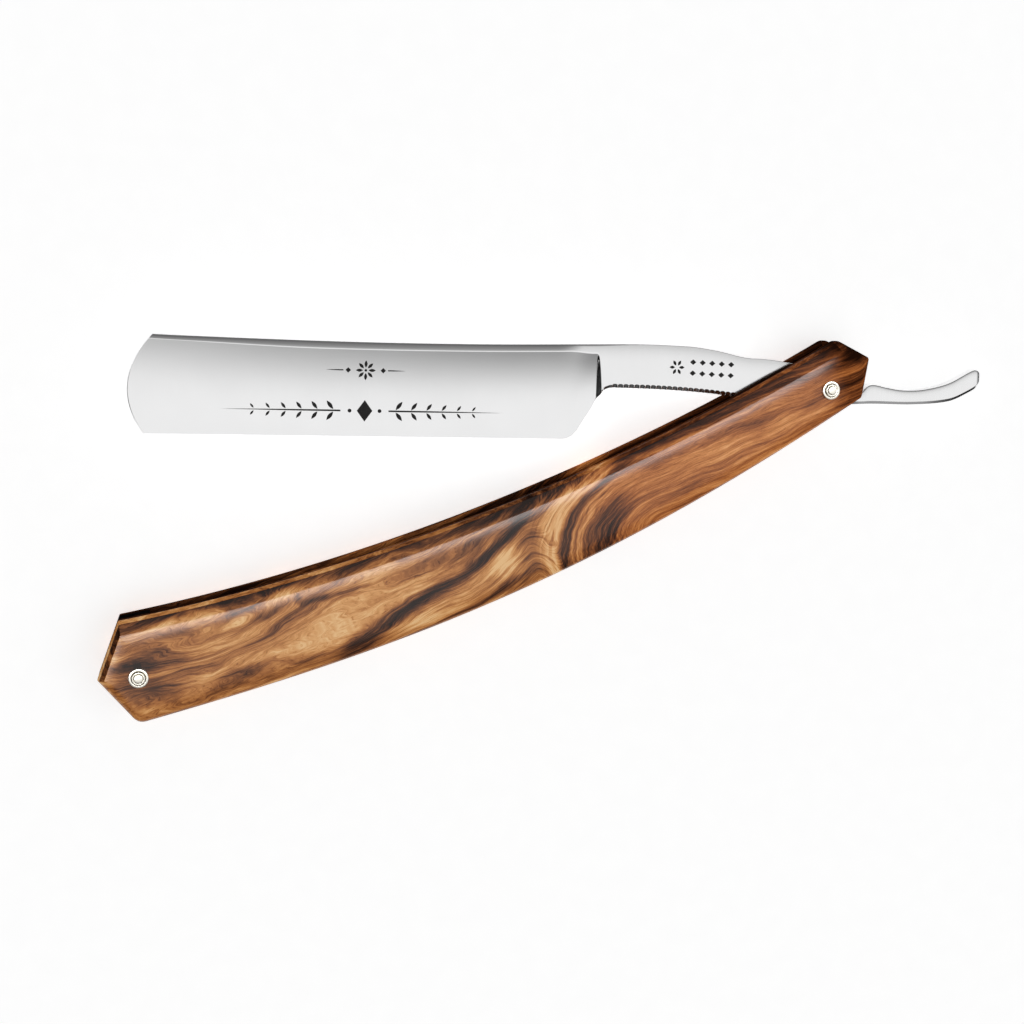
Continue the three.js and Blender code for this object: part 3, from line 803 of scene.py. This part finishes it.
def outline_ring(insets):
    """The scale's outline moved inwards, with rounded corners, and where each side starts."""
    sides = len(OUTLINE_SIDES)
    shifted = [shift_side(s, insets[i]) for i, s in enumerate(OUTLINE_SIDES)]
    corners, hits = [], []
    for i in range(sides):
        j = (i + 1) % sides
        near = OUTLINE_SIDES[j][0]
        curved, straight = (i, j) if i in LONG_SIDES else (j, i)
        point = crossing(shifted[curved], shifted[straight], near)
        ends = []
        for k in (i, j):
            direction = np.gradient(shifted[k], axis=0)
            passed = np.nonzero(((shifted[k] - point) * direction).sum(1) <= 0)[0]
            ends.append(passed[-1] if len(passed) else 0)
        corners.append(point)
        hits.append(ends)
    stretches = []
    for i in range(sides):
        before = (i - 1) % sides
        middle = shifted[i][hits[before][1] + 1:hits[i][0] + 1]
        path = np.concatenate([[corners[before]], middle, [corners[i]]])
        length = path_steps(path)[-1]
        distances = side_samples(length, CORNER_ROUNDING[before], CORNER_ROUNDING[i],
                                 SIDE_COUNTS[i])
        stretches.append(along_path(path, distances))
    ring, starts = [], []
    for i in range(sides):
        starts.append(len(ring))
        ring.extend(stretches[i])
        last = stretches[(i + 1) % sides][0]
        ring.extend(round_corner(stretches[i][-1], corners[i], last, CORNER_STEPS))
    return np.array(ring), starts


def section_levels():
    """Every level of a scale's section, with its corners rounded, as (inset, end inset, rise)."""
    corners = [np.array(s[:3]) for s in SCALE_SECTION]
    crown = [corners[-1] + (CROWN_WIDTH * s, CROWN_END_WIDTH * s, CROWN_RISE * (2 * s - s * s))
             for s in np.linspace(0, 1, 15)[1:]]
    levels = [corners[0]]
    for i in range(1, len(SCALE_SECTION)):
        here, radius = corners[i], SCALE_SECTION[i][3]
        back = corners[i - 1] - here
        on = (corners + crown)[i + 1] - here
        back = back / np.linalg.norm(back) * radius
        on = on / np.linalg.norm(on) * radius
        levels += [here + back * 2, here + back * 1.4]
        levels += round_corner(here + back, here, here + on, (0, 0.25, 0.5, 0.75, 1))
        levels += [here + on * 1.4, here + on * 2]
    return np.array(levels + crown)


def end_facet_mark(inset):
    """What the "inset" attribute says on the wedge end, at the level with that side inset."""
    # On the wedge end the outer facet is marked for painted light and the inner one for painted
    # shade
    if inset < 0.5:
        return PAINTED_LIGHT_END_FACET
    return PAINTED_SHADE_END_FACET if inset < 2.25 else NO_FACET


def scale_cap(belly, count):
    """Faces that close a level of a scale: quads from its back to its belly, and both ends."""
    last = SIDE_COUNTS[0] + 2 * len(CORNER_GUARDS) - 1
    cap = [[k, k + 1, belly + last - 1 - k, belly + last - k] for k in range(last)]
    cap.append(list(range(last, belly + 1)))
    cap.append(list(range(belly + last, count)) + [0])
    return cap


def build_scale(name, node, side):
    """A scale: side is 1 for the front one and -1 for the rear one, its mirror image."""
    levels = section_levels()
    half_corner = len(CORNER_STEPS) // 2
    points, insets, walls = [], [], []
    for inset, end_inset, rise in levels:
        ring, starts = outline_ring(side_insets(inset, end_inset, rise))
        heights = half_gap(ring[:, 0]) + rise
        points.append(np.column_stack([ring, heights * side]))
        marks = np.full(len(ring), NO_FACET)
        end_first, end_last = (start - half_corner for start in starts[1:3])
        marks[:end_first] = inset
        marks[end_first:end_last] = end_facet_mark(inset)
        insets.extend(marks.tolist())
        walls.extend([float(rise < WALL_RISE - 0.05)] * len(ring))
    count = len(points[0])
    faces = []
    for level in range(len(levels) - 1):
        faces.extend(loop_faces(level * count, (level + 1) * count, count, side < 0).tolist())
    for base, flip in ((0, True), ((len(levels) - 1) * count, False)):
        for face in scale_cap(starts[3], count):
            face = [base + i for i in face]
            faces.append(face[::-1] if flip != (side < 0) else face)
    scale = make_piece(name, np.concatenate(points), faces, "handle", WOOD, [node],
                       SCALE_SHARP)
    for attribute, values in (("inset", insets), ("wall", walls)):
        mark = scale.data.attributes.new(attribute, "FLOAT", "POINT")
        mark.data.foreach_set("value", np.array(values, np.float32))
    drill(scale, [0, -PIN_SPACING], HANDLE_TILT, SCALE_SHARP)


build_scale("wood_scale_front", "front_scale", 1)
build_scale("wood_scale_rear", "rear_scale", -1)


# ---------------- wedge

WEDGE_INNER_DISTANCE = 5.4
WEDGE_SHARP = 30


def shrink_outline(outline, distance):
    before = outline - np.roll(outline, 1, axis=0)
    after = np.roll(outline, -1, axis=0) - outline
    before /= np.linalg.norm(before, axis=1)[:, None]
    after /= np.linalg.norm(after, axis=1)[:, None]
    normal = np.stack([-(before + after)[:, 1], (before + after)[:, 0]], 1)
    normal /= np.linalg.norm(normal, axis=1)[:, None]
    lean = np.clip((normal * np.stack([-after[:, 1], after[:, 0]], 1)).sum(1), 0.5, 1)
    return outline + normal * (distance / lean)[:, None]


def build_wedge():
    inner_x = WEDGE_INNER_DISTANCE - PIN_SPACING
    top = [p for p in bezier(TOP_CONTROLS, 900) if p[0] < inner_x]
    belly = [p for p in bezier(BELLY_CONTROLS, 900) if p[0] < inner_x]
    outline = np.array([*top, TAIL_TIP, *belly])
    half = half_gap(outline[:, 0]) - 0.02
    levels = [(0.22, -half), (0.06, -half + 0.02), (0.03, -half + 0.05), (0.02, -half + 0.2),
              (0.02, half - 0.2), (0.03, half - 0.05), (0.06, half - 0.02), (0.22, half)]
    points = [np.column_stack([shrink_outline(outline, inset), height]) for inset, height in levels]
    faces = stack_faces(len(outline), len(levels))
    wedge = make_piece("horn_wedge", np.concatenate(points), faces, "handle",
                       HORN, ["wedge"], WEDGE_SHARP)
    drill(wedge, [-PIN_SPACING], HANDLE_TILT, WEDGE_SHARP)


build_wedge()


# ---------------- pins and washers

TURNED_SIDES = 96
WASHER_RADIUS = 1.6
THRUST_WASHER_RADIUS = 2.2


def turn_profile(profile, x, side):
    """Points and faces of a closed (radius, height) profile turned about an upright axis."""
    rings = [circle(x, 0, radius, TURNED_SIDES) for radius, _ in profile]
    count = len(profile)
    points, faces = [], []
    for i in range(TURNED_SIDES):
        points.extend([*ring[i], height * side] for ring, (_, height) in zip(rings, profile))
        j = (i + 1) % TURNED_SIDES
        faces.extend(loop_faces(i * count, j * count, count, side > 0).tolist())
    return points, faces


def arc(centre_r, centre_z, width, height, start, end, count):
    """Part of an ellipse, by angle in degrees from the outward direction."""
    angles = np.radians(np.linspace(start, end, count))
    return [(centre_r + width * math.cos(a), centre_z + height * math.sin(a)) for a in angles]


def washer_profile(low, high):
    """Flat ring with a rounded edge, bevelled down to the collar in its middle."""
    shape = [(HOLE_RADIUS, low), (WASHER_RADIUS - 0.06, low), (WASHER_RADIUS, low + 0.05),
             (WASHER_RADIUS, high - 0.14)]
    shape += arc(WASHER_RADIUS - 0.1, high - 0.12, 0.1, 0.1, 10, 80, 6)
    return shape + [(1.4, high - 0.006), (1.3, high), (1.25, high), (1.22, high - 0.02),
                    (1.13, high - 0.12), (1.1, high - 0.13), (HOLE_RADIUS, high - 0.13)]


def collar_profile(low, high):
    """Low ring with rounded edges, that dips towards the end of the pin."""
    shape = [(HOLE_RADIUS, low), (1.06, low), (1.09, low + 0.03), (1.08, high - 0.12)]
    shape += arc(0.98, high - 0.1, 0.1, 0.1, 15, 85, 7)
    return shape + [(0.9, high), (0.86, high), (0.83, high - 0.012), (HOLE_RADIUS, high - 0.07)]


def thrust_washer_profile(low, high):
    """Flat ring with bevelled edges."""
    edge = 0.05
    inner = THRUST_WASHER_RADIUS - edge
    return [(HOLE_RADIUS, low), (inner, low), (THRUST_WASHER_RADIUS, low + edge),
            (THRUST_WASHER_RADIUS, high - edge), (inner, high), (HOLE_RADIUS, high)]


def build_ring(name, node, profile, x, side):
    """A washer, from a profile that depends on its lowest and highest distance from the middle."""
    low, high = sorted(abs(h) for h in height_range(node))
    points, faces = turn_profile(profile(low, high), x, side)
    make_piece(name, points, faces, "handle", NICKEL, [node], 45)


def pin_profile(top):
    """Upper half of a pin, from its shaft to the nearly flat peened end."""
    return [(0.7, top - 0.36), (0.74, top - 0.3), *arc(0.66, top - 0.13, 0.08, 0.08, 0, 75, 6),
            (0.6, top - 0.032), (0.42, top - 0.014), (0.2, top - 0.003), (0.06, top)]


def build_pin(name, node, x):
    upper = pin_profile(height_range(node)[1])
    lower = [(r, -z) for r, z in upper][::-1]
    profile = lower + upper
    points = [[*place_at, height] for radius, height in profile
              for place_at in circle(x, 0, radius, TURNED_SIDES)]
    faces = stack_faces(TURNED_SIDES, len(profile))
    make_piece(name, points, faces, "handle", NICKEL, [node], 50)


for end, end_x in (("pivot", 0.0), ("wedge", -PIN_SPACING)):
    build_pin(f"{end}_rivet", f"{end}_pin", end_x)
    for place_name, side in (("front", 1), ("rear", -1)):
        for kind, profile in (("washer", washer_profile), ("collar", collar_profile)):
            build_ring(f"{end}_{kind}_turned_{place_name}", f"{end}_{kind}_{place_name}", profile,
                       end_x, side)

for place_name, side in (("front", 1), ("rear", -1)):
    build_ring(f"thrust_washer_turned_{place_name}", f"thrust_washer_{place_name}",
               thrust_washer_profile, 0.0, side)


# ---------------- etched ornament

def lozenge(x, y, width, height):
    """Diamond shape, with points along its sides too."""
    steps = np.linspace(0, 1, 7)[:-1]
    corners = [(x + width / 2, y), (x, y + height / 2), (x - width / 2, y), (x, y - height / 2)]
    points = []
    for a, b in zip(corners, corners[1:] + corners[:1]):
        points += [(a[0] + (b[0] - a[0]) * s, a[1] + (b[1] - a[1]) * s) for s in steps]
    return points


def disc(x, y, radius):
    return circle(x, y, radius, 20)


def leaf(x, y, length, width, angle):
    """Pointed leaf that starts at a point and grows along an angle, in degrees."""
    c, s = math.cos(math.radians(angle)), math.sin(math.radians(angle))
    steps = np.linspace(0, 1, 12)
    outline = [(length * t, -width / 2 * math.sin(math.pi * t)) for t in steps]
    outline += [(length * t, width / 2 * math.sin(math.pi * t)) for t in steps[::-1][1:-1]]
    return [(x + p * c - q * s, y + p * s + q * c) for p, q in outline]


def rule(x0, x1, y, half_width):
    """Long thin line that tapers to a point at its second end."""
    steps = np.linspace(0, 1, 24)
    low = [(x0 + (x1 - x0) * t, y - half_width * (1 - t ** 2)) for t in steps]
    high = [(x0 + (x1 - x0) * t, y + half_width * (1 - t ** 2)) for t in steps[::-1][1:]]
    outline = low + high
    return outline if x1 > x0 else outline[::-1]


def flower(x, y, petals, gap, length):
    """Ring of leaves that grow outwards, gap away from the middle."""
    shapes = []
    for i in range(petals):
        a = 2 * math.pi * i / petals
        shapes.append(leaf(x + gap * math.cos(a), y + gap * math.sin(a), length, 0.5,
                           360 / petals * i))
    return shapes


ETCH_RISE, ETCH_CROWN, ETCH_DEPTH = 0.012, 0.014, 0.02


def build_etching(name, shapes):
    """Thin inlaid plates that follow the surface of the blade."""
    points, faces = [], []
    for outline in shapes:
        outline = np.array(outline, float)
        middle = outline.mean(0)
        x, y = np.vstack([outline, middle]).T
        half = blade_half_thickness(x, y, spine_y(x) - y, y - belly_y(x))
        start, count = len(points), len(outline)
        points.extend(np.column_stack([outline, half[:-1] + ETCH_RISE]).tolist())
        points.extend(np.column_stack([outline, half[:-1] - ETCH_DEPTH]).tolist())
        points.append([*middle, half[-1] + ETCH_CROWN])
        points.append([*middle, half[-1] - ETCH_DEPTH])
        top, bottom = start + 2 * count, start + 2 * count + 1
        for i in range(count):
            j = (i + 1) % count
            faces.append((start + i, start + j, top))
            faces.append((start + count + j, start + count + i, bottom))
            faces.append((start + i, start + count + i, start + count + j, start + j))
    make_piece(name, points, faces, "blade", ETCH, [], 40)


def blade_ornament():
    """A spray of leaves to each side of a lozenge, and a flower above it."""
    cx, cy, flower_y = -81.0, -5.2, 1.55
    shapes = [lozenge(cx, cy, 2.6, 3.6)]
    for s in (-1, 1):
        shapes += [rule(cx + s * 4.0, cx + s * 23.5, cy, 0.14)]
        for i in range(6):
            x = cx + s * (5.2 + 2.6 * i)
            size = 1.5 - 0.14 * i
            for up in (1, -1):
                angle = up * (90 - s * 38)
                shapes.append(leaf(x, cy + up * 0.2, size * 1.2, size * 0.42, angle))
        shapes.append(disc(cx + s * 2.5, cy, 0.32))
    shapes += flower(cx, flower_y, 8, 0.45, 1.2)
    shapes.append(disc(cx, flower_y, 0.22))
    for s in (-1, 1):
        shapes.append(lozenge(cx + s * 2.9, flower_y, 0.9, 0.9))
        shapes.append(rule(cx + s * 3.7, cx + s * 6.6, flower_y, 0.1))
    return shapes


def tang_ornament():
    """A flower and two rows of lozenges."""
    cx, cy = -27.4, 3.3
    shapes = flower(cx, cy, 6, 0.35, 1.0)
    for i in range(5):
        for up in (0.95, -0.95):
            shapes.append(lozenge(cx + 2.9 + 1.75 * i, cy + up - 0.07 * i, 1.15, 0.95))
    return shapes


build_etching("blade_ornament", blade_ornament())
build_etching("tang_ornament", tang_ornament())


# ---------------- floor, light and camera

# The studio is in metres
FLOOR_HALF_SIZE = 4.0
FLOOR_LEVEL = -0.00002
FLOOR_GLOW = 0.7


def build_floor():
    """A pale floor just under the razor, that glows a little so that it looks almost white."""
    material, t, shader = new_material("pale_floor")
    place_in = t.node("ShaderNodeTexCoord").outputs["Object"]
    grain = t.noise(place_in, scale=260.0, detail=2.0)
    colour = t.mix(t.spread(grain, 0.3, 0.7), (0.93, 0.93, 0.93, 1), (0.90, 0.90, 0.90, 1))
    t.fill(shader, {"Base Color": colour, "Roughness": 0.9, "Specular IOR Level": 0.0,
                    "Emission Color": (1, 1, 1, 1), "Emission Strength": FLOOR_GLOW})
    mesh = bpy.data.meshes.new("studio_floor")
    corners = [(x * FLOOR_HALF_SIZE, y * FLOOR_HALF_SIZE, FLOOR_LEVEL)
               for x, y in ((-1, -1), (1, -1), (1, 1), (-1, 1))]
    mesh.from_pydata(corners, [], [(0, 1, 2, 3)])
    mesh.materials.append(material)
    floor = new_object("studio_floor", mesh)


def build_studio():
    """A dome of soft light: a broad pale box overhead that fades to dark towards the horizons.
    The camera sees plain white in its place."""
    world = bpy.data.worlds.new("soft_studio")
    bpy.context.scene.world = world
    world.use_nodes = True
    t = Tree(world.node_tree)
    direction = t.node("ShaderNodeTexCoord").outputs["Generated"]
    x, y, z = t.node("ShaderNodeSeparateXYZ", {0: direction}).outputs
    up = t.math("MAXIMUM", z, 0.02)
    tilt_x = t.math("ARCTANGENT", t.math("DIVIDE", x, up))
    tilt_y = t.math("ARCTANGENT", t.math("DIVIDE", y, up))
    degrees = [(-90, 0.05), (-60, 0.08), (-45, 0.2), (-33, 0.40), (-28.5, 0.54), (-24.5, 0.68),
               (-20.5, 0.83), (-16.7, 0.93), (-10, 0.95), (0, 0.93), (5, 0.82), (10, 0.52),
               (25, 0.26), (60, 0.12), (90, 0.2)]
    stops = [((d + 90) / 180, (v, v, v, 1)) for d, v in degrees]
    box_light = t.ramp(t.spread(tilt_y, math.radians(-90), math.radians(90), smooth=False), stops)
    ends = t.times(t.spread(tilt_x, math.radians(-42), math.radians(-14), 0.03, 1.0),
                   t.spread(tilt_x, math.radians(75), math.radians(40), 0.1, 1.0))
    light = t.mix(1.0, box_light, t.combine(ends, ends, ends), "MULTIPLY")
    lit = t.node("ShaderNodeBackground", {"Color": light, "Strength": 1.0})
    plain = t.node("ShaderNodeBackground", {"Color": (1, 1, 1, 1), "Strength": 1.0})
    seen = t.node("ShaderNodeLightPath").outputs["Is Camera Ray"]
    mixed = t.node("ShaderNodeMixShader", {0: seen, 1: lit.outputs[0], 2: plain.outputs[0]})
    t.node("ShaderNodeOutputWorld", {"Surface": mixed.outputs[0]})


STRIP_SIZE = (5.0, 0.52)
STRIP_DISTANCE = 3.0
STRIP_RADIANCE = 7.0
STRIP_LEAN = (0.2, 0.08)


def build_strip_light():
    """A long narrow soft box over the handle and parallel to it, that lights only the handle."""
    along = Vector((math.cos(HANDLE_TILT), math.sin(HANDLE_TILT), 0))
    across = Vector((-math.sin(HANDLE_TILT), math.cos(HANDLE_TILT), 0))
    towards = along * STRIP_LEAN[0] + across * STRIP_LEAN[1] + Vector((0, 0, 1))
    towards.normalize()
    data = bpy.data.lights.new("strip_light", "AREA")
    data.shape = "RECTANGLE"
    data.size, data.size_y = STRIP_SIZE
    data.energy = STRIP_RADIANCE * math.pi * STRIP_SIZE[0] * STRIP_SIZE[1]
    light = new_object("strip_light", data)
    side = (along - towards * along.dot(towards)).normalized()
    turn = Matrix((side, towards.cross(side), towards)).transposed()
    centre = (PIVOT + WEDGE_PIN) / 2 + towards * STRIP_DISTANCE
    light.matrix_world = Matrix.Translation(centre) @ turn.to_4x4()
    lit = bpy.data.collections.new("handle_parts")
    for piece in HANDLE_PARTS:
        lit.objects.link(piece)
    light.light_linking.receiver_collection = lit


CAMERA_LENS = 50.98
CAMERA_OFFSET = Vector((-0.1075, 0.0122, 0.2415))
CAMERA_DEGREES = (-7.543, -12.042, 0.0)


def build_camera():
    data = bpy.data.cameras.new("camera")
    data.sensor_width = 36.0
    data.lens = CAMERA_LENS
    data.clip_start, data.clip_end = 0.01, 20.0
    camera = new_object("camera", data)
    camera.location = PIVOT + CAMERA_OFFSET
    camera.rotation_euler = Euler([math.radians(a) for a in CAMERA_DEGREES])
    bpy.context.scene.camera = camera


build_floor()
build_studio()
build_strip_light()
build_camera()
bpy.context.scene.view_settings.view_transform = "Standard"
